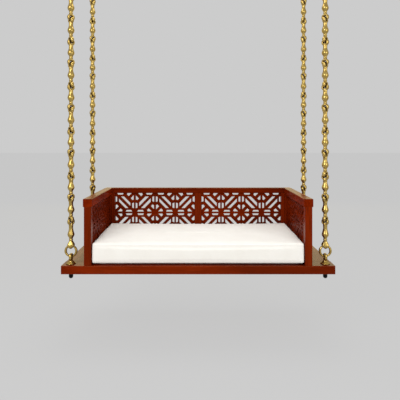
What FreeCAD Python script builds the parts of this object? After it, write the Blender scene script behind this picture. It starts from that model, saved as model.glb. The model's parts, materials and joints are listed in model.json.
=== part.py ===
import FreeCAD, Part
import math
import os
import Sketcher

# A jhoola: a low-railed platform that hangs from four chains.
# The origin is in the ceiling plane, midway between the four ceiling studs.
# X runs to the right as seen from the open front, Y to the back, Z up. Sizes are in millimetres.

Vector = FreeCAD.Vector
Rotation = FreeCAD.Rotation
Placement = FreeCAD.Placement

document = FreeCAD.newDocument("jhoola_swing")

SIZES = [
    ("platform_length", "1524", "platform end to end"),
    ("platform_depth", "610", "platform front to back"),
    ("platform_thickness", "47", "edge height of the platform"),
    ("edge_board_width", "100", "front and rear boards, which the bolts pass through"),
    ("end_board_width", "190", "boards at both ends, between the front and rear boards"),
    ("deck_thickness", "18", "panel under the mattress, flush with the boards"),
    ("bearer_width", "45", "battens that carry the deck"),
    ("eased_edge", "2.5", "small bevel on every wooden edge"),
    ("platform_overhang", "127", "platform end to the outer face of a post"),
    ("railing_height", "372", "platform top to the top of the railing"),
    ("post_width", "40", "square corner posts, and the depth of the back frame"),
    ("side_rail_width", "50", "top rail of a side, a little wider than its posts"),
    ("side_rail_height", "45", "top rail of a side"),
    ("back_rail_height", "35", "top rail of the back"),
    ("bottom_rail_height", "66", "lowest rail of the sides and the back"),
    ("bottom_rail_width", "32", "thickness of a side's lowest rail"),
    ("end_stile_width", "25", "upright of the back beside a post"),
    ("centre_stile_width", "48", "upright in the middle of the back"),
    ("jali_thickness", "15", "fretted panel"),
    ("strap_width", "10.8", "bars of the fretwork along its lattice lines"),
    ("panel_clearance", "0.3", "play of a panel in its groove, each way"),
    ("mattress_height", "117", "edge height of the mattress"),
    ("mattress_setback", "10", "platform edge to the front of the mattress"),
    ("mattress_gap", "3", "mattress to the railing around it"),
    ("mattress_crown", "14", "rise of the mattress from its edge to its middle"),
    ("mattress_corner", "14", "radius of the mattress corners in plan"),
    ("mattress_border", "9", "height and inset of the rounded top and bottom edges"),
    ("mattress_draw", "4", "how far each side pulls in between its corners"),
    ("soft_clearance", "0.4", "mattress to the boards that it lies on"),
    ("bolt_end_inset", "42", "platform end to an eye bolt"),
    ("bolt_edge_inset", "50", "platform front or back edge to an eye bolt"),
    ("bolt_diameter", "12", "threaded shank of the eye bolts and ceiling eyes"),
    ("bolt_hole_clearance", "0.4", "play of a shank in the bores it passes, each way"),
    ("bolt_thread_reach", "28", "thread of an eye bolt below the platform"),
    ("bolt_neck_diameter", "19", "shoulder of an eye bolt above its collar"),
    ("eye_apothem", "15.3", "middle of an eye bolt's rod, from the centre of its eye"),
    ("eye_half_depth", "5", "half the rod of that eye, measured outwards"),
    ("eye_half_thickness", "9", "half the rod of that eye, measured along its bore"),
    ("collar_diameter", "55", "foot of the flared collar under an eye bolt"),
    ("collar_rim", "3", "height of the collar's foot"),
    ("collar_height", "17.4", "collar"),
    ("collar_neck_diameter", "24", "top of the collar"),
    ("cap_diameter", "24.5", "domed cap nut under the platform"),
    ("cap_height", "36", "cap nut"),
    ("cap_crown_diameter", "11", "flat at the tip of the cap nut"),
    ("cap_crown_height", "9", "rounded part of the cap nut"),
    ("cap_thread_clearance", "0.05", "play of the shank in the cap nut, each way"),
    ("ring_radius", "30", "middle of the ring's wire, from the ring's centre"),
    ("ring_wire", "6", "radius of the ring's wire"),
    ("running_gap", "0.3", "play where two links, rings or eyes bear on each other"),
    ("chain_pitch", "127", "step from link to link"),
    ("end_link_pitch", "148.6", "step of the lowest link, which has a longer eye"),
    ("link_eye_apothem", "14", "middle of a link's rod, from the centre of its eye"),
    ("link_wire", "6", "half the rod of a link's eye"),
    ("end_eye_apothem", "15", "the same from the centre of an end link's lower eye"),
    ("end_eye_widening", "1.4", "width of that eye over the width of a regular one"),
    ("link_neck", "6.6", "radius of a link's stem where it leaves an eye"),
    ("link_bulb", "16.5", "radius of the bell on a link's stem, at its sharp lower edge"),
    ("link_bead", "9.2", "radius of the stem right under the bell"),
    ("ceiling_eye_drop", "62", "ceiling to the point where the top link bears"),
    ("hanger_half_thickness", "5", "half the rod of a ceiling eye, measured along its bore"),
    ("ceiling_stud_length", "45", "thread of a ceiling eye above the ceiling plane"),
    ("rose_diameter", "64", "flange of a ceiling eye, against the ceiling"),
    ("rose_neck_diameter", "26", "lower end of the flange"),
    ("rose_height", "16", "flange"),
    ("link_yaw", "45", "turn of the links about the chain, in degrees"),
]

PLACES = [
    ("half_length", "Sizes.platform_length/2"),
    ("half_depth", "Sizes.platform_depth/2"),
    ("post_out", "Places.half_length - Sizes.platform_overhang"),
    ("post_middle", "Places.post_out - Sizes.post_width/2"),
    ("post_in", "Places.post_out - Sizes.post_width"),
    ("post_depth_middle", "Places.half_depth - Sizes.post_width/2"),
    ("post_depth_in", "Places.half_depth - Sizes.post_width"),
    ("bolt_across", "Places.half_length - Sizes.bolt_end_inset"),
    ("bolt_deep", "Places.half_depth - Sizes.bolt_edge_inset"),
    ("bearer_height", "Sizes.platform_thickness - Sizes.deck_thickness"),
    ("eye_inner", "Sizes.eye_apothem - Sizes.eye_half_depth"),
    ("eye_outer", "Sizes.eye_apothem + Sizes.eye_half_depth"),
    ("bolt_bearing", "Sizes.collar_height + Places.eye_outer + Places.eye_inner"),
    ("top_link_bearing", "Sizes.running_gap - Sizes.ceiling_eye_drop"),
    ("chain_bearing", "Places.top_link_bearing - Sizes.chain_pitch"),
    ("ring_inner", "Sizes.ring_radius - Sizes.ring_wire"),
    ("groove_half", "Sizes.jali_thickness/2 + Sizes.panel_clearance"),
    ("groove_depth", "Sizes.strap_width/2 + Sizes.panel_clearance"),
    ("strap_half", "Sizes.strap_width/2"),
    ("mattress_half_length", "Places.post_in - Sizes.mattress_gap"),
    ("mattress_front", "Sizes.mattress_setback - Places.half_depth"),
    ("mattress_back", "Places.post_depth_in - Sizes.mattress_gap"),
    ("mattress_half_depth", "(Places.mattress_back - Places.mattress_front)/2"),
    ("mattress_middle", "(Places.mattress_back + Places.mattress_front)/2"),
]

CORNERS = [("front_left", -1, -1), ("front_right", 1, -1), ("rear_left", -1, 1), ("rear_right", 1, 1)]
SIDES = [("left", -1), ("right", 1)]
MIDDLE_LINKS = 11
STEM_SIDES = 6
TURNED_SIDES = 12
EYE_SIDES = 6
RING_SIDES = 12
RING_WIRE_SIDES = 6
BEARERS = 4
QUARTER_TURN = 90


def new_sheet(name, rows):
    """A sheet with one named value in each row."""
    sheet = document.addObject("Spreadsheet::Sheet", name)
    for number, row in enumerate(rows, 1):
        sheet.set("A%d" % number, row[0])
        sheet.set("B%d" % number, row[1])
        sheet.setAlias("B%d" % number, row[0])
    return sheet


sizes = new_sheet("Sizes", SIZES)
PLACES += [
    ("end_link_bearing", "Places.chain_bearing - %d*Sizes.chain_pitch" % MIDDLE_LINKS),
    ("ring_bearing", "Places.end_link_bearing - Sizes.end_link_pitch"),
    ("seat_bearing", "Places.ring_bearing - 2*Places.ring_inner + Sizes.running_gap"),
    ("platform_top", "Places.seat_bearing - Places.bolt_bearing"),
    ("platform_bottom", "Places.platform_top - Sizes.platform_thickness"),
    ("back_opening", "Places.post_in - Sizes.centre_stile_width/2 - Sizes.end_stile_width"),
    ("back_opening_height", "Sizes.railing_height - Sizes.back_rail_height - Sizes.bottom_rail_height"),
    ("back_cell_length", "(Places.back_opening + Sizes.strap_width)/4"),
    ("back_cell_height", "(Places.back_opening_height + Sizes.strap_width)/2"),
    ("side_opening", "Sizes.platform_depth - 2*Sizes.post_width"),
    ("side_opening_height", "Sizes.railing_height - Sizes.side_rail_height - Sizes.bottom_rail_height"),
    ("side_cell_length", "(Places.side_opening + Sizes.strap_width)/4"),
    ("side_cell_height", "(Places.side_opening_height + Sizes.strap_width)/2"),
    ("opening_bottom", "Places.platform_top + Sizes.bottom_rail_height"),
    ("back_middle", "Places.half_depth - Sizes.post_width/2"),
    ("back_stile_middle", "Places.post_in - Sizes.end_stile_width/2"),
    ("back_panel_middle", "(Sizes.centre_stile_width + Places.back_opening)/2"),
]
places = document.addObject("Spreadsheet::Sheet", "Places")
for line, (alias, formula) in enumerate(PLACES, 1):
    places.set("A%d" % line, alias)
    places.set("B%d" % line, "=" + formula.replace("Places.", ""))
    places.setAlias("B%d" % line, alias)
document.recompute()


def value(expression):
    """The number that an expression of the two sheets stands for."""
    return float(sizes.evalExpression(str(expression)))


def place(thing, across="0", deep="0", high="0"):
    """Bind the position of a thing to expressions."""
    for axis, expression in (("x", across), ("y", deep), ("z", high)):
        thing.setExpression("Placement.Base." + axis, str(expression))
    return thing


def sketch_on(body, role):
    """An empty sketch on one of the body's own origin planes."""
    sketch = body.newObject("Sketcher::SketchObject", "Sketch")
    plane = next(part for part in body.Origin.OriginFeatures if part.Role == role)
    sketch.AttachmentSupport = (plane, [""])
    sketch.MapMode = "FlatFace"
    return sketch


def outline(sketch, corners):
    """A closed outline of straight edges, each corner tied to its two expressions."""
    first = sketch.GeometryCount
    count = len(corners)
    spots = [(value(along), value(up)) for along, up in corners]
    for number, spot in enumerate(spots):
        following = spots[(number + 1) % count]
        sketch.addGeometry(Part.LineSegment(Vector(*spot, 0), Vector(*following, 0)), False)
    for number in range(count):
        following = first + (number + 1) % count
        sketch.addConstraint(Sketcher.Constraint("Coincident", first + number, 2, following, 1))
    for number, corner in enumerate(corners):
        for kind, other_axis, expression in zip(("DistanceX", "DistanceY"), (-2, -1), corner):
            distance = value(expression)
            if distance == 0:
                rule = Sketcher.Constraint("PointOnObject", first + number, 1, other_axis)
                sketch.addConstraint(rule)
                continue
            rule = Sketcher.Constraint(kind, -1, 1, first + number, 1, distance)
            sketch.setExpression("Constraints[%d]" % sketch.addConstraint(rule), expression)


def circle(sketch, along, up, radius):
    """A circle tied to three expressions."""
    spot = Vector(value(along), value(up), 0)
    number = sketch.addGeometry(Part.Circle(spot, Vector(0, 0, 1), value(radius)), False)
    for kind, other_axis, expression in (("DistanceX", -2, along), ("DistanceY", -1, up)):
        distance = value(expression)
        if distance == 0:
            sketch.addConstraint(Sketcher.Constraint("PointOnObject", number, 3, other_axis))
            continue
        rule = Sketcher.Constraint(kind, -1, 1, number, 3, distance)
        sketch.setExpression("Constraints[%d]" % sketch.addConstraint(rule), expression)
    rule = Sketcher.Constraint("Radius", number, value(radius))
    sketch.setExpression("Constraints[%d]" % sketch.addConstraint(rule), radius)


def pad(body, sketch, length, against_normal=False):
    """Material on a sketch, as thick as an expression says."""
    feature = body.newObject("PartDesign::Pad", "Pad")
    feature.Profile = sketch
    feature.setExpression("Length", length)
    feature.Reversed = against_normal
    return feature


def pocket_through(body, sketch, along_normal=False, both_ways=False):
    """The holes of a sketch, cut right through; they have to take material away."""
    document.recompute()
    before = body.Shape.Volume
    feature = body.newObject("PartDesign::Pocket", "Pocket")
    feature.Profile = sketch
    feature.Type = "ThroughAll"
    feature.Reversed = along_normal
    if both_ways:
        feature.SideType = "Symmetric"
    document.recompute()
    if feature.Shape.Volume >= before:
        raise RuntimeError("the holes of " + body.Label + " cut nothing")
    return feature


def new_body(label):
    """A body whose label names its file."""
    body = document.addObject("PartDesign::Body", label)
    body.Label = label
    return body


def copy_of(master, label, yaw=0):
    """A placed copy that follows its master's shape."""
    copy = document.addObject("Part::Compound", label)
    copy.Label = label
    copy.Links = [master]
    copy.Placement = Placement(Vector(0, 0, 0), Rotation(Vector(0, 0, 1), yaw))
    return copy


def group(label, members):
    """Several separate solids under one label."""
    compound = document.addObject("Part::Compound", label)
    compound.Label = label
    compound.Links = members
    return compound


def at_corners(label, master, high, yaw=0):
    """Four copies of a master, one on the axis of each chain, the right-hand ones mirrored."""
    members = []
    for corner, across, deep in CORNERS:
        member = copy_of(master, corner + "_" + master.Label, -across*yaw)
        place(member, "%d*Places.bolt_across" % across, "%d*Places.bolt_deep" % deep, high)
        members.append(member)
    return group(label, members)


# Woodwork


def timber(width, height, grooves=()):
    """The section of a bar about its middle, with eased corners and panel grooves."""
    edge = "Sizes.eased_edge"
    half, depth = "Places.groove_half", "Places.groove_depth"
    wide, tall = "(%s)/2" % width, "(%s)/2" % height
    walk = []
    faces = [("bottom", wide, tall), ("right", tall, wide), ("top", wide, tall), ("left", tall, wide)]
    for face, reach, out in faces:
        run = [("-(%s) + %s" % (reach, edge), out)]
        if face in grooves:
            floor = "%s - %s" % (out, depth)
            run += [("-1*" + half, out), ("-1*" + half, floor), (half, floor), (half, out)]
        run += [("%s - %s" % (reach, edge), out)]
        for along, outwards in run:
            walk.append({
                "bottom": (along, "-1*(%s)" % outwards),
                "right": (outwards, along),
                "top": ("-1*(%s)" % along, outwards),
                "left": ("-1*(%s)" % outwards, "-1*(%s)" % along),
            }[face])
    return walk


def bar(label, direction, width, height, length, across, deep, high, grooves=()):
    """A wooden bar along X, Y or Z that starts at the given place, its section centred there."""
    body = new_body(label)
    sketch = sketch_on(body, {"X": "YZ_Plane", "Y": "XZ_Plane", "Z": "XY_Plane"}[direction])
    outline(sketch, timber(width, height, grooves))
    pad(body, sketch, length, against_normal=(direction == "Y"))
    return place(body, across, deep, high)


def stop_groove(body, height, length):
    """Solid wood under the front end of a rail along Y, in place of its lower groove."""
    sketch = sketch_on(body, "XZ_Plane")
    half, low = "Places.groove_half", "-1*(%s)/2" % height
    floor = low + " + Places.groove_depth"
    outline(sketch, [("-1*" + half, low), (half, low), (half, floor), ("-1*" + half, floor)])
    body.Tip = pad(body, sketch, length, against_normal=True)


def platform():
    """Front and rear boards, end boards between them, and a deck on battens."""
    pieces = []
    board_middle = "(Places.half_depth - Sizes.edge_board_width/2)"
    level = "Places.platform_top - Sizes.platform_thickness/2"
    for name, sign in (("front", -1), ("rear", 1)):
        deep = "%d*%s" % (sign, board_middle)
        board = bar("base_%s_board" % name, "X", "Sizes.edge_board_width", "Sizes.platform_thickness",
                    "Sizes.platform_length", "-1*Places.half_length", deep, level)
        holes = sketch_on(board, "XY_Plane")
        for reach in ("Sizes.bolt_end_inset", "Sizes.platform_length - Sizes.bolt_end_inset"):
            circle(holes, reach, "%d*(Places.bolt_deep - %s)" % (sign, board_middle),
                   "Sizes.bolt_diameter/2 + Sizes.bolt_hole_clearance")
        board.Tip = pocket_through(board, holes, both_ways=True)
        pieces.append(board)
    span = "2*(Places.half_depth - Sizes.edge_board_width)"
    near = "Sizes.edge_board_width - Places.half_depth"
    for name, sign in SIDES:
        middle = "%d*(Places.half_length - Sizes.end_board_width/2)" % sign
        pieces.append(bar("base_%s_end" % name, "Y", "Sizes.end_board_width", "Sizes.platform_thickness",
                          span, middle, near, level))
    deck_half = "(Places.half_length - Sizes.end_board_width)"
    deck = document.addObject("Part::Box", "base_deck")
    deck.setExpression("Length", "2*" + deck_half)
    deck.setExpression("Width", span)
    deck.setExpression("Height", "Sizes.deck_thickness")
    pieces.append(place(deck, "-1*" + deck_half, near, "Places.platform_top - Sizes.deck_thickness"))
    bearers = []
    for number in range(BEARERS):
        bearer = document.addObject("Part::Box", "bearer_%d" % number)
        bearer.setExpression("Length", "Sizes.bearer_width")
        bearer.setExpression("Width", span)
        bearer.setExpression("Height", "Places.bearer_height")
        share = (2*number + 1)/BEARERS - 1
        bearers.append(place(bearer, "%r*%s - Sizes.bearer_width/2" % (share, deck_half), near,
                             "Places.platform_bottom"))
    pieces.append(group("base_bearers", bearers))
    return pieces


# Fretwork. A cell of the lattice has a star at two opposite corners and a flower at the other two.
# Each point is a share of the cell and a number of half straps, along and up.

SLOT_ALONG_SHARES = [((0.12, 0), (0, 1)), ((0.455, 0), (0, 1)),
                     ((0.405, 0), (0.13, 0)), ((0.17, 0), (0.13, 0))]
SLOT_UP_SHARES = [((0, 1), (0.2, 0)), ((0, 1), (0.49, 0)),
                  ((0.135, 0), (0.455, 0)), ((0.135, 0), (0.235, 0))]
BAND_SHARES = [((0.213, 0), (0.303, 0)), ((0.213, 0), (0.473, 0)),
               ((0.527, 0), (0.787, 0)), ((0.697, 0), (0.787, 0))]
PETAL_SHARES = [((0.85, 0), (0.01, 1)), ((0.63, 0), (0.01, 1)),
                ((0.605, 0), (0.125, 0)), ((0.695, 0), (0.205, 0))]


def swapped(shape):
    """The shape mirrored about the cell's rising diagonal."""
    return [(up, along) for along, up in shape]


def opposite(shape):
    """The shape turned half a turn about the cell's middle."""
    return [tuple((1 - share, -straps) for share, straps in point) for point in shape]


CELL_SHARES = [SLOT_ALONG_SHARES, SLOT_UP_SHARES, opposite(SLOT_ALONG_SHARES), opposite(SLOT_UP_SHARES),
               BAND_SHARES, swapped(BAND_SHARES), PETAL_SHARES, swapped(PETAL_SHARES),
               opposite(PETAL_SHARES), opposite(swapped(PETAL_SHARES))]


def jali(label, role, cell_along, cell_up, across, deep, high):
    """A fretted panel, four cells by two: one cell is drawn, then mirrored twice and repeated."""
    body = new_body(label)
    facing_back = role == "XZ_Plane"
    blank = sketch_on(body, role)
    left, right = "-1*" + cell_along, "3*" + cell_along
    outline(blank, [(left, "-1*" + cell_up), (right, "-1*" + cell_up), (right, cell_up), (left, cell_up)])
    pad(body, blank, "Sizes.jali_thickness", against_normal=facing_back)
    holes = sketch_on(body, role)
    for shape in CELL_SHARES:
        outline(holes, [tuple("%r*%s + %d*Places.strap_half" % (share, cell, straps)
                              for (share, straps), cell in zip(point, (cell_along, cell_up)))
                        for point in shape])
    cut = pocket_through(body, holes, along_normal=not facing_back)
    pattern = body.newObject("PartDesign::MultiTransform", "MultiTransform")
    pattern.Originals = [cut]
    steps = []
    for axis in ("V_Axis", "H_Axis"):
        mirror = body.newObject("PartDesign::Mirrored", "Mirrored")
        mirror.MirrorPlane = (holes, [axis])
        steps.append(mirror)
    repeat = body.newObject("PartDesign::LinearPattern", "LinearPattern")
    repeat.Direction = (holes, ["H_Axis"])
    repeat.setExpression("Length", "2*" + cell_along)
    repeat.Occurrences = 2
    pattern.Transformations = steps + [repeat]
    body.Tip = pattern
    return place(body, across, deep, high)


def railing_side(name, sign):
    """One end of the railing: two posts, two rails and a fretted panel in their grooves."""
    middle = "%d*Places.post_middle" % sign
    front_height = "Sizes.railing_height - Sizes.side_rail_height"
    pieces = []
    for place_name, depth_sign, groove, post_height in (("front", -1, "top", front_height),
                                                        ("rear", 1, "bottom", "Sizes.railing_height")):
        pieces.append(bar("%s_%s_post" % (name, place_name), "Z", "Sizes.post_width", "Sizes.post_width",
                          post_height, middle, "%d*Places.post_depth_middle" % depth_sign,
                          "Places.platform_top", (groove,)))
    rail = bar(name + "_top_rail", "Y", "Sizes.side_rail_width", "Sizes.side_rail_height",
               "Places.half_depth + Places.post_depth_in", middle, "-1*Places.half_depth",
               "Places.platform_top + %s + Sizes.side_rail_height/2" % front_height, ("bottom",))
    stop_groove(rail, "Sizes.side_rail_height", "Sizes.post_width - Places.groove_depth")
    pieces.append(rail)
    pieces.append(bar(name + "_bottom_rail", "Y", "Sizes.bottom_rail_width", "Sizes.bottom_rail_height",
                      "Places.side_opening", middle, "-1*Places.post_depth_in",
                      "Places.platform_top + Sizes.bottom_rail_height/2", ("top",)))
    pieces.append(jali(name + "_jali", "YZ_Plane", "Places.side_cell_length", "Places.side_cell_height",
                       middle + " - Sizes.jali_thickness/2", "-1*Places.side_cell_length",
                       "Places.opening_bottom + Places.side_opening_height/2"))
    return pieces


def railing_back():
    """The back of the railing: two rails, three stiles and two fretted panels."""
    deep = "Places.back_middle"
    span = "2*Places.post_in"
    pieces = []
    top_middle = "Places.platform_top + Sizes.railing_height - Sizes.back_rail_height/2"
    bottom_middle = "Places.platform_top + Sizes.bottom_rail_height/2"
    pieces.append(bar("back_top_rail", "X", "Sizes.post_width", "Sizes.back_rail_height", span,
                      "-1*Places.post_in", deep, top_middle, ("bottom",)))
    pieces.append(bar("back_bottom_rail", "X", "Sizes.post_width", "Sizes.bottom_rail_height", span,
                      "-1*Places.post_in", deep, bottom_middle, ("top",)))
    stiles = [("left", "Sizes.end_stile_width", "-1*Places.back_stile_middle", ("right",)),
              ("centre", "Sizes.centre_stile_width", "0", ("left", "right")),
              ("right", "Sizes.end_stile_width", "Places.back_stile_middle", ("left",))]
    for name, width, across, grooves in stiles:
        pieces.append(bar("back_%s_stile" % name, "Z", width, "Sizes.post_width",
                          "Places.back_opening_height", across, deep, "Places.opening_bottom", grooves))
    for name, sign in SIDES:
        across = "%d*Places.back_panel_middle - Places.back_cell_length" % sign
        pieces.append(jali("back_%s_jali" % name, "XZ_Plane", "Places.back_cell_length",
                           "Places.back_cell_height", across, deep + " - Sizes.jali_thickness/2",
                           "Places.opening_bottom + Places.back_opening_height/2"))
    return pieces


# Mattress. Each ring is an inset from the edge, and a height above the underside.

MATTRESS_TOP_SHARES = [(0.12, 0.62), (0.38, 0.93), (0.7, 1)]
MATTRESS_SIDE_SHARES = [-0.5, 0, 0.5]
MATTRESS_CORNER_CHORDS = 5


def direction(turn):
    """A level direction of length one, at an angle from the X axis."""
    return Vector(math.cos(turn), math.sin(turn), 0)


def mattress_ring(inset, height):
    """Points around the mattress: round corners, and sides that pull in between them."""
    corner, draw = value("Sizes.mattress_corner"), value("Sizes.mattress_draw")
    straights = [value("Places.mattress_half_%s" % side) - corner for side in ("length", "depth")]
    middle = Vector(0, value("Places.mattress_middle"), height)
    ring = []
    for quarter in range(4):
        full, across = straights[quarter % 2], straights[1 - quarter % 2]
        along, outwards = full - inset, across - inset
        start = math.pi/2*quarter
        normal, travel = direction(start + math.pi/2), direction(start + math.pi)
        for step in range(MATTRESS_CORNER_CHORDS + 1):
            turn = start + math.pi/2*step/MATTRESS_CORNER_CHORDS
            ring.append(middle + normal*outwards - travel*along + direction(turn)*corner)
        for share in MATTRESS_SIDE_SHARES:
            drawn_in = draw*(1 - share**2)*along/full
            ring.append(middle + normal*(outwards + corner - drawn_in) + travel*(along*share))
    return ring


def mattress():
    """A boxed mattress: upright sides that pull in, rounded edges and a crowned top."""
    height, border = value("Sizes.mattress_height"), value("Sizes.mattress_border")
    crown, reach = value("Sizes.mattress_crown"), value("Places.mattress_half_depth")
    rings = [mattress_ring(border, 0), mattress_ring(0, border),
             mattress_ring(0, height - border), mattress_ring(border, height)]
    for inset_share, rise_share in MATTRESS_TOP_SHARES:
        rings.append(mattress_ring(inset_share*reach, height + rise_share*crown))
    return place(master("mattress", solid_between(rings, closed=False)),
                 high="Places.platform_top + Sizes.soft_clearance")


# Forged and turned brass. The rods of links, rings and eyes are faceted, and mitred at their corners.

ROD_SHARES = [(1, 0), (0, 1), (-1, 0), (0, -1)]
STEM_BELL_SHARE = 0.62
TEARDROP_TOP_SHARE = 0.55


def solid_between(rings, closed):
    """A solid of flat facets between rings of points, open rings being capped."""
    faces = []
    following = rings[1:] + (rings[:1] if closed else [])
    for near, far in zip(rings, following):
        for number in range(len(near)):
            after = (number + 1) % len(near)
            corners = [near[number], near[after], far[after], far[number]]
            faces.append(Part.Face(Part.makePolygon(corners + corners[:1])))
    if not closed:
        faces += [Part.Face(Part.makePolygon(ring + ring[:1])) for ring in (rings[0], rings[-1])]
    shell = Part.makeCompound(faces)
    shell.sewShape()
    solid = Part.Solid(shell.Shells[0])
    if solid.Volume < 0:
        solid.reverse()
    return solid


def mitred_rod(path, section):
    """A rod along a closed path in the XZ plane; the section is given outwards and sideways."""
    rings = []
    for number, spot in enumerate(path):
        before = (spot - path[number - 1]).normalize()
        after = (path[(number + 1) % len(path)] - spot).normalize()
        bisector = Vector(after.z + before.z, 0, -after.x - before.x).normalize()
        stretch = 1/math.cos(before.getAngle(after)/2)
        rings.append([spot + bisector*(out*stretch) + Vector(0, side, 0) for out, side in section])
    return solid_between(rings, closed=True)


def regular_path(sides, apothem, centre_height):
    """A regular path in the XZ plane, with a flat at its top and bottom."""
    radius = apothem/math.cos(math.pi/sides)
    turns = [math.pi*(2*number + 1)/sides - math.pi/2 for number in range(sides)]
    return [Vector(radius*math.cos(turn), 0, centre_height + radius*math.sin(turn)) for turn in turns]


def rod_section(half_depth, half_thickness):
    """A four-sided rod with its edges inwards, outwards and to both sides."""
    return [(out*half_depth, side*half_thickness) for out, side in ROD_SHARES]


def stem(stations, sides=STEM_SIDES):
    """A faceted stem about Z through stations of height and radius."""
    turns = [2*math.pi*number/sides for number in range(sides)]
    rings = [[Vector(radius*math.cos(turn), radius*math.sin(turn), height) for turn in turns]
             for height, radius in stations]
    return solid_between(rings, closed=False)


def rod(label, low, high, radius):
    """A straight faceted rod about Z between two heights."""
    return master(label, stem([(low, value(radius)), (high, value(radius))], TURNED_SIDES))


def turned(label, outside, bore):
    """A faceted turning about Z: its outside, less its bore, both as heights and radii."""
    stations = [(value(height), value(radius)) for height, radius in outside]
    slack = 1/math.cos(math.pi/TURNED_SIDES)
    hollow = [(value(height), value(radius)*slack) for height, radius in bore]
    return master(label, stem(stations, TURNED_SIDES).cut(stem(hollow, TURNED_SIDES)))


def link_shape(reach, teardrop):
    """A link about Z. Its upper eye bears at height 0, its lower eye at the reach below."""
    apothem, wire = value("Sizes.link_eye_apothem"), value("Sizes.link_wire")
    neck, bulb, bead = value("Sizes.link_neck"), value("Sizes.link_bulb"), value("Sizes.link_bead")
    section = rod_section(wire, wire)
    upper = regular_path(EYE_SIDES, apothem, wire - apothem)
    lower = regular_path(EYE_SIDES, apothem, apothem - wire - reach)
    if teardrop:
        stretch = value("Sizes.end_link_pitch - Sizes.chain_pitch")
        middle = value("Sizes.end_eye_apothem") - wire - reach
        lower = regular_path(EYE_SIDES, value("Sizes.end_eye_apothem"), middle)
        for spot in lower:
            spot.x *= value("Sizes.end_eye_widening")
            if spot.z > middle + wire:
                spot.x *= TEARDROP_TOP_SHARE
                spot.z += stretch
    top = wire - 2*apothem
    bottom = max(spot.z for spot in lower)
    bell_height = top - STEM_BELL_SHARE*(top - bottom)
    upper_stem = stem([(top, neck), (bell_height, bulb)])
    lower_stem = stem([(bell_height, bead), (bottom, neck)])
    parts = [upper_stem, lower_stem, mitred_rod(lower, section)]
    return mitred_rod(upper, section).fuse(parts).removeSplitter()


def master(label, shape):
    """A shape that placed copies share; it isn't a piece by itself."""
    feature = document.addObject("Part::Feature", label)
    feature.Label = label
    feature.Shape = shape
    return feature


def fused(label, members):
    """Several forms made into one solid."""
    fusion = document.addObject("Part::MultiFuse", label)
    fusion.Label = label
    fusion.Shapes = members
    fusion.Refine = True
    return fusion


def eye_bolts():
    """Eye bolts through the platform, each with its flared collar and cap nut."""
    apothem, level = value("Sizes.eye_apothem"), value("Sizes.collar_height + Places.eye_outer")
    section = rod_section(value("Sizes.eye_half_depth"), value("Sizes.eye_half_thickness"))
    eye = master("bolt_eye", mitred_rod(regular_path(EYE_SIDES, apothem, level), section))
    shoulder = value("Sizes.collar_height")
    tip = value("-1*(Sizes.platform_thickness + Sizes.bolt_thread_reach)")
    root = shoulder + value("Sizes.eye_half_depth")
    neck = rod("bolt_neck", shoulder, root, "Sizes.bolt_neck_diameter/2")
    shank = rod("bolt_shank", tip, shoulder, "Sizes.bolt_diameter/2")
    bolt = fused("eye_bolt", [eye, neck, shank])
    bore = "Sizes.bolt_diameter/2 + Sizes.bolt_hole_clearance"
    foot, top = "Sizes.collar_diameter/2", "Sizes.collar_height"
    outside = [("0", foot), ("Sizes.collar_rim", foot), (top, "Sizes.collar_neck_diameter/2")]
    collar = turned("collar", outside, [("0", bore), (top, bore)])
    thread = "Sizes.bolt_diameter/2 + Sizes.cap_thread_clearance"
    tip = "-1*Sizes.cap_height"
    cap = turned("cap_nut", [(tip, "Sizes.cap_crown_diameter/2"),
                             ("Sizes.cap_crown_height - Sizes.cap_height", "Sizes.cap_diameter/2"),
                             ("0", "Sizes.cap_diameter/2")],
                 [("-1*(Sizes.bolt_thread_reach + Sizes.cap_thread_clearance)", thread), ("0", thread)])
    return [at_corners("eye_bolts", bolt, "Places.platform_top", QUARTER_TURN),
            at_corners("collars", collar, "Places.platform_top"),
            at_corners("cap_nuts", cap, "Places.platform_bottom")]


def ceiling_eyes():
    """Eyes that the chains hang from, each with a flange against the ceiling and a stud above it."""
    apothem = value("Sizes.eye_apothem")
    level = value("Places.eye_inner - Sizes.ceiling_eye_drop")
    section = rod_section(value("Sizes.eye_half_depth"), value("Sizes.hanger_half_thickness"))
    eye = master("hanger_eye", mitred_rod(regular_path(EYE_SIDES, apothem, level), section))
    root = value("Sizes.eye_apothem + Places.eye_inner - Sizes.ceiling_eye_drop")
    neck = rod("hanger_neck", root, 0, "Sizes.bolt_neck_diameter/2")
    stud = document.addObject("Part::Cylinder", "hanger_stud")
    stud.setExpression("Radius", "Sizes.bolt_diameter/2")
    stud.setExpression("Height", "Sizes.ceiling_stud_length")
    hanger = fused("ceiling_eye", [eye, neck, stud])
    bore = "Sizes.bolt_neck_diameter/2 + Sizes.bolt_hole_clearance"
    foot, low = "Sizes.rose_diameter/2", "-1*Sizes.rose_height"
    outside = [(low, "Sizes.rose_neck_diameter/2"), ("-1*Sizes.collar_rim", foot), ("0", foot)]
    rose = turned("ceiling_rose", outside, [(low, bore), ("0", bore)])
    yaw = value("Sizes.link_yaw") + QUARTER_TURN
    return [at_corners("ceiling_eyes", hanger, "0", yaw), at_corners("ceiling_roses", rose, "0")]


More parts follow.
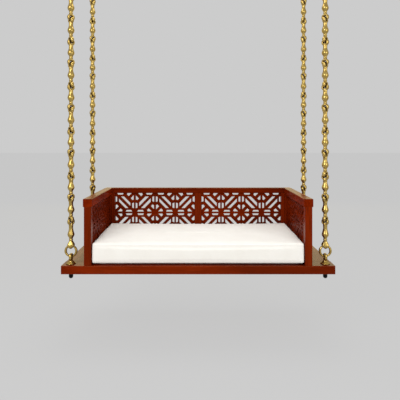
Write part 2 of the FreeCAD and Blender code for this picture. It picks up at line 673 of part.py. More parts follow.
def chains():
    """Four chains: a top link, eleven links, an end link and a ring each."""
    middle = master("middle_link", link_shape(value("Sizes.chain_pitch + Sizes.running_gap"), False))
    last = master("end_link", link_shape(value("Sizes.end_link_pitch + Sizes.running_gap"), True))
    wire = value("Sizes.ring_wire")
    turns = [2*math.pi*number/RING_WIRE_SIDES for number in range(RING_WIRE_SIDES)]
    section = [(wire*math.cos(turn), wire*math.sin(turn)) for turn in turns]
    drop = value("-1*Places.ring_inner")
    ring = master("ring", mitred_rod(regular_path(RING_SIDES, value("Sizes.ring_radius"), drop), section))
    yaw = value("Sizes.link_yaw")
    pieces = []
    for corner, across_sign, deep_sign in CORNERS:
        across = "%d*Places.bolt_across" % across_sign
        deep = "%d*Places.bolt_deep" % deep_sign
        twist = -across_sign*yaw
        top = copy_of(middle, corner + "_top_link", twist)
        pieces.append(place(top, across, deep, "Places.top_link_bearing"))
        links = []
        for number in range(MIDDLE_LINKS):
            turn = twist + QUARTER_TURN*((number + 1) % 2)
            link = copy_of(middle, "%s_link_%d" % (corner, number), turn)
            bearing = "Places.chain_bearing - %d*Sizes.chain_pitch" % number
            links.append(place(link, across, deep, bearing))
        pieces.append(group(corner + "_links", links))
        end = copy_of(last, corner + "_end_link", twist + QUARTER_TURN*((MIDDLE_LINKS + 1) % 2))
        pieces.append(place(end, across, deep, "Places.end_link_bearing"))
        hoop = copy_of(ring, corner + "_ring")
        pieces.append(place(hoop, across, deep, "Places.ring_bearing"))
    return pieces


nodes = platform()
for side_name, side_sign in SIDES:
    nodes += railing_side(side_name, side_sign)
nodes += railing_back()
nodes.append(mattress())
nodes += eye_bolts()
nodes += ceiling_eyes()
nodes += chains()
document.recompute()

for thing in document.Objects:
    if "Invalid" in thing.State or "Error" in thing.State:
        raise RuntimeError(thing.Label + " failed: " + str(thing.State))
for node in nodes:
    if node.Shape.isNull() or not node.Shape.isValid() or not node.Shape.Solids:
        raise RuntimeError(node.Label + " has no valid shape")

os.makedirs("parts", exist_ok=True)
for node in nodes:
    node.Shape.exportStep(os.path.join("parts", node.Label + ".step"))
print(len(nodes), "nodes,", sum(len(node.Shape.Solids) for node in nodes), "solids")
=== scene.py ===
import bmesh
import bpy
import json
import math
import numpy as np
from mathutils import Matrix, Vector

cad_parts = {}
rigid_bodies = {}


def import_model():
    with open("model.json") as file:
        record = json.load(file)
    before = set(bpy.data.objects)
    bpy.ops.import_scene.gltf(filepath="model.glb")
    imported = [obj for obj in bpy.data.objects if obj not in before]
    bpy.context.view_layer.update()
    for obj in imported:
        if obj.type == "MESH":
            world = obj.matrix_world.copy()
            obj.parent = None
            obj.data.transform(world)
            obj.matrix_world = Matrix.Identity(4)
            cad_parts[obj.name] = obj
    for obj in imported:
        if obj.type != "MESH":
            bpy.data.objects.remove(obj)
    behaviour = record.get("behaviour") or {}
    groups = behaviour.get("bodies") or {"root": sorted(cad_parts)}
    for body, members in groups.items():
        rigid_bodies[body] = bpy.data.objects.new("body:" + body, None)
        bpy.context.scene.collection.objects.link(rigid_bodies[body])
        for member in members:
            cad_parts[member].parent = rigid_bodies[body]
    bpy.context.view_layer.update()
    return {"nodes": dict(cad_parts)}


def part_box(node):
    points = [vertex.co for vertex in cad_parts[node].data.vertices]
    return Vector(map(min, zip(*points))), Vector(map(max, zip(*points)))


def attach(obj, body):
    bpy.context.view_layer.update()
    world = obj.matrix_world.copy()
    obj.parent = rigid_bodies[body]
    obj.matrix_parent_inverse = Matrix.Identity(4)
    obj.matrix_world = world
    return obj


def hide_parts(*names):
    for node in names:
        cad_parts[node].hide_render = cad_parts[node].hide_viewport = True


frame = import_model()
nodes = frame["nodes"]

# All lengths are in metres. MM turns a length in millimetres into metres.
MM = 0.001
# Each corner with its sign along X, to the right, and its sign along Y, to the rear.
CORNERS = {"front_left": (-1, -1), "front_right": (1, -1), "rear_left": (-1, 1), "rear_right": (1, 1)}
SIDES = ("left", "right")

# Sizes that the brass pieces share with the solids they stand for. LINK_WIRE is the radius of an eye's rod.
LINK_WIRE = 6*MM
LINK_PITCH = 127*MM
LINK_REACH = 127.3*MM
END_REACH = 148.9*MM
LINK_COUNT = 11
YAW = math.radians(45)
QUARTER = math.radians(90)
REST = Matrix.Identity(4)


# Meshes


class Form:
    """Points and faces that are collected before they become a mesh."""

    def __init__(self):
        self.points, self.faces = [], []

    def add(self, points, faces):
        start = len(self.points)
        self.points += [Vector(point) for point in points]
        self.faces += [tuple(start + index for index in face) for face in faces]
        return self

    def place(self, other, matrix):
        return self.add([matrix @ point for point in other.points], other.faces)


def skin(rings, closed_path=False):
    """Faces between closed rings of points, with a cap at each end of an open path."""
    form = Form()
    size = len(rings[0])
    faces = []
    count = len(rings) if closed_path else len(rings) - 1
    for number in range(count):
        near, far = number*size, (number + 1) % len(rings)*size
        for index in range(size):
            after = (index + 1) % size
            faces.append((near + index, near + after, far + after, far + index))
    if not closed_path:
        faces.append(tuple(reversed(range(size))))
        faces.append(tuple((len(rings) - 1)*size + index for index in range(size)))
    return form.add([point for ring in rings for point in ring], faces)


def revolve(profile, segments=40):
    """A turning about Z. The profile runs along the height as (height, radius) in millimetres."""
    turns = [2*math.pi*number/segments for number in range(segments)]
    return skin([[Vector((radius*math.cos(turn), radius*math.sin(turn), height))*MM for turn in turns]
                 for height, radius in profile])


def flowing(before, start, end, after, share):
    """A value between start and end, on a smooth line through all four."""
    return 0.5*(2*start + (end - before)*share + (2*before - 5*start + 4*end - after)*share**2
                + (3*start - before - 3*end + after)*share**3)


def smooth_profile(knots, steps=4):
    """A flowing line through (height, radius) knots; a knot given twice stays a sharp edge."""
    runs, run = [], [knots[0]]
    for knot in knots[1:]:
        if knot == run[-1]:
            runs.append(run)
            run = [knot]
        else:
            run.append(knot)
    runs.append(run)
    line = []
    for run in runs:
        padded = [run[0]] + run + [run[-1]]
        for number in range(1, len(padded) - 2):
            four = [Vector(knot) for knot in padded[number - 1:number + 3]]
            line += [flowing(*four, step/steps) for step in range(steps)]
        line.append(Vector(run[-1]))
    return [(point.x, point.y) for point in line]


def loop_rod(path, section_at):
    """A rod round a closed path in the XZ plane; section_at(share) gives (outwards, sideways) pairs."""
    rings = []
    for number, spot in enumerate(path):
        tangent = (path[(number + 1) % len(path)] - path[number - 1]).normalized()
        outwards = Vector((tangent.z, 0, -tangent.x))
        rings.append([spot + outwards*out + Vector((0, side, 0))
                      for out, side in section_at(number/len(path))])
    return skin(rings, closed_path=True)


def oval(half_out, half_side, sides, squareness=2.0):
    """An oval as pairs of numbers. A squareness of 2 is a true ellipse, and more is squarer."""
    pairs = []
    for number in range(sides):
        turn = 2*math.pi*number/sides
        cosine, sine = math.cos(turn), math.sin(turn)
        power = 2/squareness
        pairs.append((half_out*math.copysign(abs(cosine)**power, cosine),
                      half_side*math.copysign(abs(sine)**power, sine)))
    return pairs


def round_path(half_wide, half_tall, height, steps, squareness=2.0):
    """A closed oval path in the XZ plane, counted anticlockwise from the +X side."""
    return [Vector((across, 0, height + up))
            for across, up in oval(half_wide, half_tall, steps, squareness)]


def make(name, form, material, body, replaced, smooth_angle=40):
    """A finished piece on its body, standing for the CAD nodes named."""
    mesh = bpy.data.meshes.new(name)
    mesh.from_pydata([tuple(point) for point in form.points], [], form.faces)
    mesh.update()
    piece = bpy.data.objects.new(name, mesh)
    bpy.context.scene.collection.objects.link(piece)
    work = bmesh.new()
    work.from_mesh(mesh)
    bmesh.ops.recalc_face_normals(work, faces=work.faces)
    work.to_mesh(mesh)
    work.free()
    mesh.shade_smooth()
    mesh.set_sharp_from_angle(angle=math.radians(smooth_angle))
    mesh.materials.append(material)
    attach(piece, body)
    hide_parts(*replaced)
    return piece


# Materials


def material_nodes(name):
    material = bpy.data.materials.new(name)
    material.use_nodes = True
    tree = material.node_tree
    shader = tree.nodes["Principled BSDF"]
    return material, tree, shader


def feed(tree, target, inputs):
    """Link or set the inputs of a node."""
    for key, given in inputs.items():
        if isinstance(given, bpy.types.NodeSocket):
            tree.links.new(given, target.inputs[key])
        else:
            target.inputs[key].default_value = given


def node(tree, kind, inputs=None, **settings):
    """A new node, with its settings and what goes into it."""
    made = tree.nodes.new(kind)
    for key, setting in settings.items():
        setattr(made, key, setting)
    feed(tree, made, inputs or {})
    return made


def linear(red, green, blue):
    """An 8-bit sRGB colour as a linear colour with alpha."""
    def one(channel):
        share = channel/255
        return share/12.92 if share <= 0.04045 else ((share + 0.055)/1.055)**2.4
    return one(red), one(green), one(blue), 1.0


def ramp(tree, factor, stops):
    made = node(tree, "ShaderNodeValToRGB", {"Fac": factor})
    elements = made.color_ramp.elements
    while len(elements) < len(stops):
        elements.new(0.5)
    for element, (position, colour) in zip(elements, stops):
        element.position, element.color = position, colour
    return made.outputs["Color"]


def stretched(tree, scale, offset=(0, 0, 0)):
    """Object coordinates, scaled apart along the three axes."""
    place = node(tree, "ShaderNodeTexCoord")
    made = node(tree, "ShaderNodeMapping", {"Vector": place.outputs["Object"], "Scale": scale,
                                            "Location": offset})
    return made.outputs["Vector"]


def noise(tree, vector, scale, detail, roughness=0.55, distortion=0.0):
    made = node(tree, "ShaderNodeTexNoise", {"Vector": vector, "Scale": scale, "Detail": detail,
                                             "Roughness": roughness, "Distortion": distortion})
    return made.outputs["Fac"]


def math_node(tree, operation, first, second):
    return node(tree, "ShaderNodeMath", {0: first, 1: second}, operation=operation).outputs[0]


def mix(tree, factor, first, second):
    """A colour between two. Among the sockets of the node, 6, 7 and output 2 are those of a colour."""
    return node(tree, "ShaderNodeMix", {0: factor, 6: first, 7: second}, data_type="RGBA").outputs[2]


def remap(tree, factor, low, high, new_low, new_high):
    """A value taken from one range to another, and held within it."""
    made = node(tree, "ShaderNodeMapRange", {"Value": factor, "From Min": low, "From Max": high,
                                             "To Min": new_low, "To Max": new_high})
    return made.outputs["Result"]


# Tones of the wood from the dark to the light lines of its grain, and of its figure, pores and worn edges;
# the edge tone is wear and a painted highlight.
GRAIN_TONES = ((0.28, (88, 19, 1)), (0.46, (114, 29, 2)), (0.6, (126, 35, 4)), (0.78, (143, 48, 9)))
FIGURE_TONE = (76, 18, 2)
PORE_TONE = (56, 12, 1)
EDGE_WEAR_AND_HIGHLIGHT_TONE = (150, 66, 26)
EDGE_RADIUS = 2.2*MM
FULL_SHEEN = 0.5


def wood(name, grain_axis, offset=0.0, depth=1.0, gloss=1.24, edge_wear_and_highlight=0.5, wear_and_highlight_tone=EDGE_WEAR_AND_HIGHLIGHT_TONE,
         side_sheen=FULL_SHEEN):
    """Red-brown polished wood, its grain along one axis. side_sheen is the shine of upright faces."""
    material, tree, shader = material_nodes(name)
    shift = (offset, offset*0.7, offset*1.3)

    def drawn_out(along, across, **settings):
        """Noise that is stretched along the grain."""
        spread = tuple(along if axis == grain_axis else across for axis in range(3))
        return noise(tree, stretched(tree, spread, shift), **settings)

    def deepened(tone):
        red, green, blue = tone
        return linear(red*depth, green*depth, blue)

    grain = drawn_out(1.3, 13.0, scale=2.2, detail=7.0, roughness=0.62, distortion=1.1)
    pores = drawn_out(9.0, 240.0, scale=1.0, detail=3.0, roughness=0.6)
    figure = drawn_out(1.1, 4.0, scale=1.6, detail=3.0, roughness=0.5, distortion=0.6)
    base = ramp(tree, grain, [(spot, deepened(tone)) for spot, tone in GRAIN_TONES])
    darker = mix(tree, remap(tree, figure, 0.35, 0.66, 0.0, 0.58), base, deepened(FIGURE_TONE))
    lined = mix(tree, remap(tree, pores, 0.56, 0.75, 0.0, 0.45), darker, deepened(PORE_TONE))
    # Edges are worn and carry a painted highlight, more so where they face up. A rounded normal that departs
    # from the true one marks them.
    rounded = node(tree, "ShaderNodeBevel", {"Radius": EDGE_RADIUS}, samples=4)
    plain = node(tree, "ShaderNodeNewGeometry")
    facing = node(tree, "ShaderNodeVectorMath", {0: rounded.outputs["Normal"], 1: plain.outputs["Normal"]},
                  operation="DOT_PRODUCT")
    edge = remap(tree, facing.outputs["Value"], 0.7, 0.98, 1.0, 0.0)
    upward = node(tree, "ShaderNodeSeparateXYZ", {"Vector": rounded.outputs["Normal"]}).outputs["Z"]
    edge = math_node(tree, "MULTIPLY", edge, remap(tree, upward, 0.15, 0.6, 0.4, 1.0))
    worn_and_highlit = mix(tree, math_node(tree, "MULTIPLY", edge, edge_wear_and_highlight), lined, linear(*wear_and_highlight_tone))
    bump = node(tree, "ShaderNodeBump", {"Strength": 0.06, "Distance": 0.3*MM, "Height": pores,
                                         "Normal": rounded.outputs["Normal"]})
    feed(tree, shader, {"Base Color": worn_and_highlit, "Roughness": remap(tree, grain, 0.2, 0.8, 0.32, 0.22),
                        "Normal": bump.outputs["Normal"], "Specular Tint": (1.0, 0.42, 0.14, 1.0),
                        "IOR": gloss})
    if side_sheen < FULL_SHEEN:
        sheen = remap(tree, upward, 0.5, 0.9, side_sheen, FULL_SHEEN)
        feed(tree, shader, {"Specular IOR Level": sheen})
    return material


def brass():
    """Cast and turned brass: polished on its swells, darker in its hollows with patina and painted shade."""
    material, tree, shader = material_nodes("polished_brass")
    spots = stretched(tree, (1, 1, 1))
    cloud = noise(tree, spots, scale=60.0, detail=5.0, roughness=0.6)
    fine = noise(tree, spots, scale=700.0, detail=3.0, roughness=0.6)
    base = ramp(tree, cloud, [(0.3, linear(172, 140, 64)), (0.5, linear(190, 160, 82)),
                              (0.72, linear(204, 178, 104))])
    # Occlusion darkens the hollows: part patina, part painted shade.
    hollow = node(tree, "ShaderNodeAmbientOcclusion", {"Distance": 12*MM}, samples=8)
    shade = remap(tree, hollow.outputs["AO"], 0.45, 0.95, 1.0, 0.0)
    patina_and_painted_shade = mix(tree, math_node(tree, "MULTIPLY", shade, 0.9), base, linear(70, 44, 6))
    bump = node(tree, "ShaderNodeBump", {"Strength": 0.15, "Distance": 0.3*MM, "Height": fine})
    feed(tree, shader, {"Base Color": patina_and_painted_shade, "Roughness": remap(tree, cloud, 0.3, 0.7, 0.2, 0.34),
                        "Normal": bump.outputs["Normal"], "Metallic": 1.0,
                        "Specular Tint": linear(196, 170, 124), "Coat Weight": 0.5, "Coat Roughness": 0.22})
    return material


def black_metal():
    """Black lacquer on the cap nuts."""
    material, tree, shader = material_nodes("black_lacquer")
    grain = noise(tree, stretched(tree, (1, 1, 1)), scale=500.0, detail=3.0)
    base = ramp(tree, grain, [(0.3, linear(5, 5, 5)), (0.7, linear(14, 14, 14))])
    bump = node(tree, "ShaderNodeBump", {"Strength": 0.1, "Distance": 0.1*MM, "Height": grain})
    feed(tree, shader, {"Base Color": base, "Roughness": remap(tree, grain, 0.3, 0.7, 0.28, 0.4),
                        "Normal": bump.outputs["Normal"], "IOR": 1.2})
    return material


def cloth():
    """Off-white cotton with a plain weave."""
    material, tree, shader = material_nodes("cotton_weave")
    threads = []
    fine, coarse = 430, 60
    for scale in ((fine, fine, coarse), (coarse, fine, fine), (fine, coarse, fine)):
        threads.append(noise(tree, stretched(tree, scale), scale=1.0, detail=2.0, roughness=0.5))
    weave = math_node(tree, "ADD", math_node(tree, "ADD", threads[0], threads[1]), threads[2])
    weave = remap(tree, weave, 1.1, 1.9, 0.0, 1.0)
    soft = noise(tree, stretched(tree, (1, 1, 1)), scale=9.0, detail=4.0, roughness=0.6)
    base = ramp(tree, soft, [(0.3, linear(241, 237, 229)), (0.7, linear(246, 243, 236))])
    woven = mix(tree, math_node(tree, "MULTIPLY", weave, 0.25), base, linear(240, 235, 225))
    bump = node(tree, "ShaderNodeBump", {"Strength": 0.35, "Distance": 0.35*MM, "Height": weave})
    feed(tree, shader, {"Base Color": woven, "Roughness": 0.86, "Sheen Weight": 0.15,
                        "Normal": bump.outputs["Normal"]})
    return material


BRASS = brass()
BLACK = black_metal()
CLOTH = cloth()

# Wooden pieces: the solids stay, each with the grain along its own length.
WOOD_ALONG = {axis: wood("polished_wood_%s" % letter, axis) for axis, letter in enumerate("xyz")}
PANEL_WOOD = {axis: wood("panel_wood_%s" % letter, axis, offset=3.7, depth=0.94, gloss=1.06, edge_wear_and_highlight=0.25)
              for axis, letter in ((0, "x"), (1, "y"))}
DECK_WOOD = wood("deck_wood_x", 0, offset=8.1, depth=0.9)
BACK_RAIL_WOOD = wood("back_rail_wood_x", 0, offset=1.9, depth=0.92, gloss=1.08)
# The front board's top edge carries a strong painted highlight as well as wear.
FRONT_WOOD = wood("front_board_wood_x", 0, offset=2.6, edge_wear_and_highlight=0.9, wear_and_highlight_tone=(205, 135, 88))
SIDE_RAIL_WOOD = wood("side_rail_wood_y", 1, offset=5.3, gloss=1.14, side_sheen=0.08)
GRAIN = {0: ["base_rear_board", "back_bottom_rail"],
         1: ["base_left_end", "base_right_end", "base_bearers", "left_bottom_rail", "right_bottom_rail"],
         2: [side + post for side in SIDES for post in ("_front_post", "_rear_post")]
            + ["back_%s_stile" % name for name in ("left", "centre", "right")]}


def dress(name, material):
    mesh = nodes[name].data
    if not mesh.materials:
        mesh.materials.append(material)
    for index in range(len(mesh.materials)):
        mesh.materials[index] = material


for axis, names in GRAIN.items():
    for name in names:
        dress(name, WOOD_ALONG[axis])
for side in SIDES:
    dress(side + "_jali", PANEL_WOOD[1])
    dress("back_%s_jali" % side, PANEL_WOOD[0])
    dress(side + "_top_rail", SIDE_RAIL_WOOD)
dress("base_deck", DECK_WOOD)
dress("back_top_rail", BACK_RAIL_WOOD)
dress("base_front_board", FRONT_WOOD)


# Chains

# A link hangs from height 0, the top of the hole in its upper eye, and the hole in its lower eye ends
# LINK_REACH below that. The knots of a turned profile are (height, radius) in millimetres.
STEM_KNOTS = [(-14, 9.6), (-20, 11.4), (-25, 12.2), (-31, 11.8), (-37, 11.6), (-43, 12.3), (-50, 14.2),
              (-57, 16.8), (-63, 18.6), (-68, 19.1), (-73, 18.2), (-78, 15.8), (-82.5, 12.8), (-86.5, 10.6),
              (-90.5, 9.7), (-93.5, 10.0), (-96.5, 11.0), (-99, 10.5), (-101, 9.7), (-103, 9.6), (-107, 10.4)]
EYE_HALF_WIDTH = 13.8*MM
EYE_HALF_HEIGHT = 12.4*MM
EYE_SQUARENESS = 2.7
ROD_INNER, ROD_SIDE = 5.4*MM, 5.7*MM
ROD_SWELL, ROD_SIDE_SWELL = 2.0*MM, 4.2*MM
ROD_FACES = 20
# An eye is slim for SLIM_ARC degrees to each side of where the next piece bears, and fills out over the
# FILLING_ARC after them.
SLIM_ARC, FILLING_ARC = 38, 42
# Where the next piece bears, as a share of the way round: the top and the foot of an eye.
TOP, FOOT = 0.25, 0.75


def fuller_rod(bearing_share, outer, side):
    """A rod that is slim where the next piece bears on it, and fuller outwards and sideways elsewhere."""
    def section(share):
        away = abs((share - bearing_share + 0.5) % 1 - 0.5)*360
        part = min(max((away - SLIM_ARC)/FILLING_ARC, 0), 1)
        full = part*part*(3 - 2*part)
        half = ROD_INNER + full*outer/2
        return [(out + full*outer/2, across)
                for out, across in oval(half, ROD_SIDE + full*side, ROD_FACES, 2 + 0.3*full)]
    return section


def link_eye(height, bearing_share):
    """One eye of a link, round a middle at this height."""
    path = round_path(EYE_HALF_WIDTH, EYE_HALF_HEIGHT, height, 44, EYE_SQUARENESS)
    return loop_rod(path, fuller_rod(bearing_share, ROD_SWELL, ROD_SIDE_SWELL))


UPPER_EYE = link_eye(LINK_WIRE - EYE_HALF_HEIGHT, TOP)
LOWER_EYE = link_eye(EYE_HALF_HEIGHT - LINK_WIRE - LINK_REACH, FOOT)


def periodic(knots, share):
    """A smooth value round a closed path, through evenly spaced knots."""
    spot = share*len(knots)
    number = int(spot) % len(knots)
    four = [knots[(number + step) % len(knots)] for step in (-1, 0, 1, 2)]
    return flowing(*four, spot % 1)


# The lowest eye is a solid drop, and the ring passes through it from side to side. Both rows go round its
# hole in eighths of a turn, in millimetres, from one cheek over the neck to the other cheek and the foot.
DROP_THICKNESS = [9.5, 9.5, 22.0, 9.5, 9.5, 10.5, 11.8, 10.5]
DROP_HALF_SIDE = [18.2, 15.2, 9.6, 15.2, 18.2, 11.5, 6.2, 11.5]
HOLE_HALF_WIDTH, HOLE_HEIGHT = 9.5*MM, 17*MM
HOLE_SQUARENESS, DROP_SQUARENESS = 3.0, 2.3
# The bulb of the lowest link hangs lower by STEM_DROP, in millimetres. The drop sets in at the height
# DROP_START and is full a DROP_SPAN below it.
STEM_DROP = 12
DROP_START, DROP_SPAN = -20, 37


def drop_section(share):
    half = periodic(DROP_THICKNESS, share)*MM/2
    half_side = periodic(DROP_HALF_SIDE, share)*MM
    return [(out + half, across) for out, across in oval(half, half_side, ROD_FACES, DROP_SQUARENESS)]


def lowered(knot):
    """A knot of the stem in the lowest link, where the bulb hangs lower."""
    height, radius = knot
    return height - STEM_DROP*min(max((DROP_START - height)/DROP_SPAN, 0), 1), radius


HOLE_PATH = round_path(HOLE_HALF_WIDTH, HOLE_HEIGHT/2, HOLE_HEIGHT/2 - END_REACH, 64, HOLE_SQUARENESS)
TEARDROP = loop_rod(HOLE_PATH, drop_section)
STEM = revolve(smooth_profile(STEM_KNOTS))
END_STEM = revolve(smooth_profile([lowered(knot) for knot in STEM_KNOTS]))
REGULAR_LINK = Form().place(UPPER_EYE, REST).place(LOWER_EYE, REST).place(STEM, REST)
END_LINK = Form().place(UPPER_EYE, REST).place(END_STEM, REST)


def at(spot, yaw=0.0):
    """A place, turned about the vertical."""
    return Matrix.Translation(spot) @ Matrix.Rotation(yaw, 4, "Z")


def bearing(name):
    """The point that a link node hangs from: in its middle, one rod's thickness below its top."""
    low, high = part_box(name)
    return Vector(((low.x + high.x)/2, (low.y + high.y)/2, high.z - 2*LINK_WIRE))


RING_ROD = 5.4*MM
RING_BULGE = 3.0*MM


def ring_section(share):
    """A ring is slim where it bears, at its top and foot, and a little fuller at its sides."""
    bulge = RING_BULGE*math.cos(2*math.pi*share)**4
    return oval(RING_ROD + bulge/2, RING_ROD + bulge, 22)


for corner, (sideways, _) in CORNERS.items():
    twist = -sideways*YAW
    make(corner + "_upper_turned_link", Form().place(REGULAR_LINK, at(bearing(corner + "_top_link"), twist)),
         BRASS, corner + "_hanger", [corner + "_top_link"])
    chain = Form()
    first = bearing(corner + "_links")
    for number in range(LINK_COUNT):
        turn = twist + QUARTER*((number + 1) % 2)
        chain.place(REGULAR_LINK, at(first - Vector((0, 0, number*LINK_PITCH)), turn))
    make(corner + "_turned_links", chain, BRASS, corner + "_chain", [corner + "_links"])
    lowest = bearing(corner + "_end_link")
    end_link = Form().place(END_LINK, at(lowest, twist)).place(TEARDROP, at(lowest, QUARTER))
    make(corner + "_teardrop_link", end_link, BRASS, corner + "_chain", [corner + "_end_link"])
    low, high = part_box(corner + "_ring")
    middle = (low + high)/2
    radius = (high.z - low.z)/2 - LINK_WIRE
    ring = loop_rod(round_path(radius, radius, 0, 72), ring_section)
    make(corner + "_round_ring", Form().place(ring, at(middle)), BRASS, corner + "_hoop",
         [corner + "_ring"])


# Fittings on the seat and at the ceiling


def four_fold(form, height, yaw=0.0):
    """Copies of a form on the axes of the four chains. The yaw is mirrored from left to right."""
    across = (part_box("front_right_ring")[0].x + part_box("front_right_ring")[1].x)/2
    deep = (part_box("rear_right_ring")[0].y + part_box("rear_right_ring")[1].y)/2
    whole = Form()
    for side, depth in CORNERS.values():
        whole.place(form, at(Vector((side*across, depth*deep, height)), -side*yaw))
    return whole


platform_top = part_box("base_front_board")[1].z
platform_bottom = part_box("base_front_board")[0].z

BOLT_EYE_HALF_WIDTH, BOLT_EYE_RADIUS = 16.8*MM, 15.3*MM
BOLT_EYE_HEIGHT = 37.7*MM
BOLT_EYE_SQUARENESS = 3.0
BOLT_BAND_OUT, BOLT_BAND_SIDE, BOLT_BAND_SQUARENESS = 4.9*MM, 7.2*MM, 3.2
COLLAR_KNOTS = [(0, 6.6), (0, 6.6), (0, 26.4), (0, 26.4), (0.8, 27.3), (2.4, 27.5), (3.9, 26.6), (5.4, 24.4),
                (7.4, 21.2), (9.8, 18.2), (12.4, 15.6), (15.0, 13.7), (17.3, 12.6), (17.3, 12.6),
                (17.3, 6.6), (17.3, 6.6)]
BOLT_KNOTS = [(-74, 5.9), (-74, 5.9), (16.8, 5.9), (16.8, 5.9), (16.8, 12.3), (16.8, 12.3), (19.0, 10.9),
              (22, 9.6), (25.5, 8.6), (28.5, 7.6)]


def bolt_section(share):
    """The eye of a bolt is a slim band, flat on its sides."""
    return oval(BOLT_BAND_OUT, BOLT_BAND_SIDE, ROD_FACES, BOLT_BAND_SQUARENESS)


def bolt_eye(height, section_at):
    path = round_path(BOLT_EYE_HALF_WIDTH, BOLT_EYE_RADIUS, height, 56, BOLT_EYE_SQUARENESS)
    return loop_rod(path, section_at)


eye_bolt = Form().place(bolt_eye(BOLT_EYE_HEIGHT, bolt_section), Matrix.Rotation(QUARTER, 4, "Z"))
eye_bolt.place(revolve(smooth_profile(BOLT_KNOTS)), REST)
make("cast_eye_bolts", four_fold(eye_bolt, platform_top), BRASS, "seat", ["eye_bolts"])
make("flared_collars", four_fold(revolve(smooth_profile(COLLAR_KNOTS), 56), platform_top), BRASS,
     "seat", ["collars"])
CAP_KNOTS = [(0, 6.2), (0, 6.2), (0, 11.6), (0, 11.6), (-0.7, 12.2), (-8, 12.2), (-8.6, 11.7), (-9.2, 12.2),
             (-25.0, 12.1), (-28.5, 11.4), (-31.6, 9.8), (-34.0, 7.2), (-35.5, 3.8), (-36, 0.6), (-36, 0.02)]
make("domed_cap_nuts", four_fold(revolve(smooth_profile(CAP_KNOTS), 44), platform_bottom), BLACK,
     "seat", ["cap_nuts"])

HANGER_DROP = 51.7*MM
HANGER_ROD = 4.8*MM
HANGER_KNOTS = [(44.8, 0.4), (44.8, 0.4), (44.8, 5.2), (44.0, 5.95), (44.0, 5.95), (0, 5.95), (0, 5.95),
                (0, 9.4), (0, 9.4), (-28, 9.4), (-32, 8.6), (-36, 7.4)]
hanger = Form().place(bolt_eye(-HANGER_DROP, lambda share: oval(HANGER_ROD, HANGER_ROD, 18)), REST)
hanger.place(revolve(smooth_profile(HANGER_KNOTS)), REST)
make("cast_ceiling_eyes", four_fold(hanger, 0.0, YAW + QUARTER), BRASS, "ceiling", ["ceiling_eyes"])
ROSE_KNOTS = [(-16, 10.0), (-16, 10.0), (-16, 12.4), (-15.2, 13.0), (-12.5, 14.0), (-9, 17.0), (-6, 22.5),
              (-4.2, 28.0), (-3.6, 28.8), (-3.6, 28.8), (-2.9, 31.2), (-1.8, 31.9), (-0.2, 31.9),
              (-0.2, 31.9), (-0.2, 10.0)]
make("turned_ceiling_roses", four_fold(revolve(smooth_profile(ROSE_KNOTS), 56), 0.0), BRASS,
     "ceiling", ["ceiling_roses"])


# Mattress

# The cover stands this far proud of the solid: towards the posts, to the front and on top.
PROUD_SIDE, PROUD_FRONT, PROUD_TOP = 2.3*MM, 5*MM, 3*MM
# The cushion starts smaller than that by these amounts, which the swelling fills.
SLACK_SIDE, SLACK_FRONT, SLACK_TOP = 0.8*MM, 1*MM, 1.5*MM
BASE_GAP = 0.6*MM
# The long sides are drawn in by this much between the corners, and the short ones belly out.
DRAWS = (2*MM, -4*MM)
CROWN, EDGE, CORNER = 2*MM, 5*MM, 8*MM
# The top rises to the rear, and at half depth each end rises a little more.
REAR_LIFT, SIDE_LIFT = 14*MM, 6*MM
# The rounded lower edge, as (inset, height) in millimetres.
LOWER_ROLL = ((36, 0), (31, 1.8), (25, 3.4), (10, 4.9), (4, 6.1), (1.2, 8.3))
POINTS_PER_CORNER, POINTS_PER_SIDE = 10, 30
EDGE_STEPS, TOP_STEPS = 5, 12
VOXEL = 6*MM
SWELL_FRAMES, SWELL_PRESSURE, SWELL_CAP = 20, 4.0, 5*MM
# Each seam is at a height over the foot, or under the top, of the solid, and has a depth.
LOWER_SEAM, UPPER_SEAM = (9*MM, 0.5*MM), (25*MM, 1.2*MM)
SEAM_WIDTH = 2.4*MM


def mattress_ring(half_long, half_deep, radius, height):
    """Points round the mattress: round corners, and sides that are drawn in, or belly out, between them."""
    reach = (half_long - radius, half_deep - radius)
    ring = []
    for quarter in range(4):
        along, outwards = reach[quarter % 2], reach[1 - quarter % 2]
        start = QUARTER*quarter
        normal = Vector((math.cos(start + QUARTER), math.sin(start + QUARTER), 0))
        travel = Vector((-math.cos(start), -math.sin(start), 0))
        draw = DRAWS[quarter % 2]
        for step in range(POINTS_PER_CORNER):
            turn = start + QUARTER*step/POINTS_PER_CORNER
            ring.append(normal*outwards - travel*along + Vector((math.cos(turn), math.sin(turn), 0))*radius)
        for step in range(POINTS_PER_SIDE):
            share = 2*step/POINTS_PER_SIDE - 1
            ring.append(normal*(outwards + radius - draw*(1 - share**2)) + travel*(along*share))
    return [point + Vector((0, 0, height)) for point in ring]


